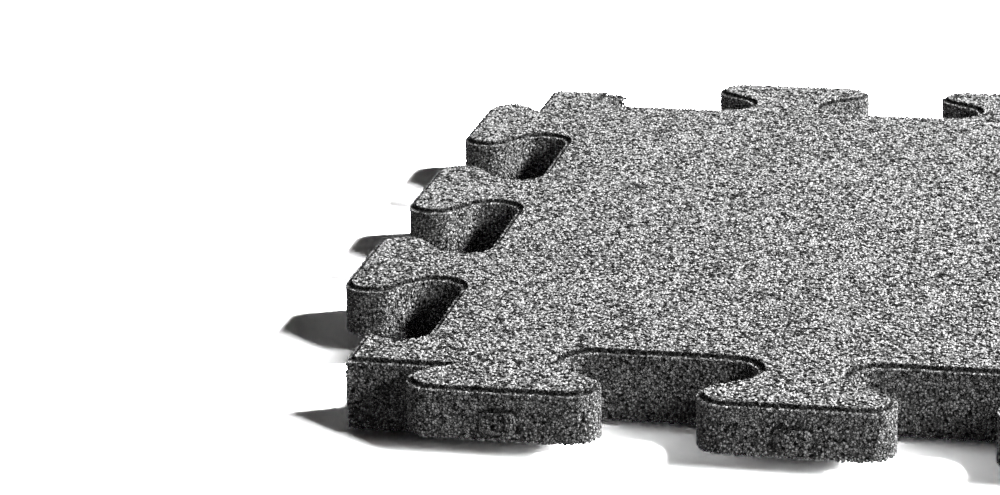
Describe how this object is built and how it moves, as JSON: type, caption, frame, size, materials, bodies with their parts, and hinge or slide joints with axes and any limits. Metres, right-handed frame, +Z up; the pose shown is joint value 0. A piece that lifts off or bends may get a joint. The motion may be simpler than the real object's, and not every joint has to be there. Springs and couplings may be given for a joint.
{
  "type": "interlocking rubber safety tile",
  "caption": "Square rubber granulate floor tile with mushroom knobs and matching sockets round its edges, a rim ledge and drainage feet.",
  "frame": {"origin": "middle of the tile's footprint, on the floor under its feet", "axes": "+Z up through the thickness, +X and +Y along the sides, -Y is the side towards the camera"},
  "size_m": [0.566, 0.566, 0.04],
  "materials": {
    "rubber_granulate": "rough bound granulate, speckled black and grey"
  },
  "bodies": {
    "root": {"tile": "rubber_granulate"}
  },
  "joints": []
}
